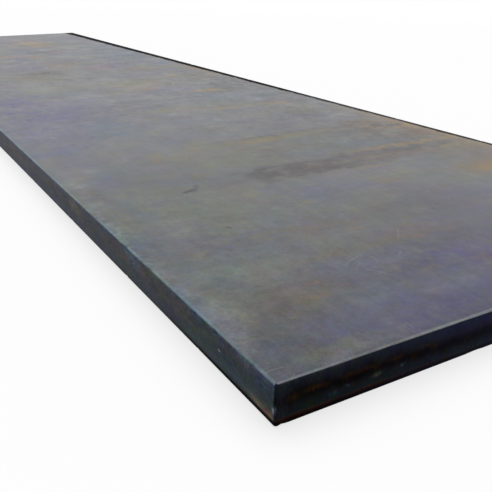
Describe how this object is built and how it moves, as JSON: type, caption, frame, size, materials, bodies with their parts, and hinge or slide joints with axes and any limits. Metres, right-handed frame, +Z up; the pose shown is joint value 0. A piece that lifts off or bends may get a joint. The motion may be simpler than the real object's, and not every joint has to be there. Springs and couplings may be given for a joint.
{
  "type": "steel plate",
  "caption": "Heavy hot-rolled steel plate, raw stock: flat rectangular slab with rolled long sides, flame-cut ends and dark mill scale.",
  "frame": {"origin": "middle of the underside, on the level that the plate lies on", "axes": "+Y along the plate's length, away from the near cut end; +X across its width; +Z up through its thickness"},
  "size_m": [1.5, 6, 0.08],
  "materials": {
    "mill_scale": "dull blue-grey mill scale with faint rust streaks"
  },
  "bodies": {
    "root": {"steel_plate": "mill_scale"}
  },
  "joints": []
}
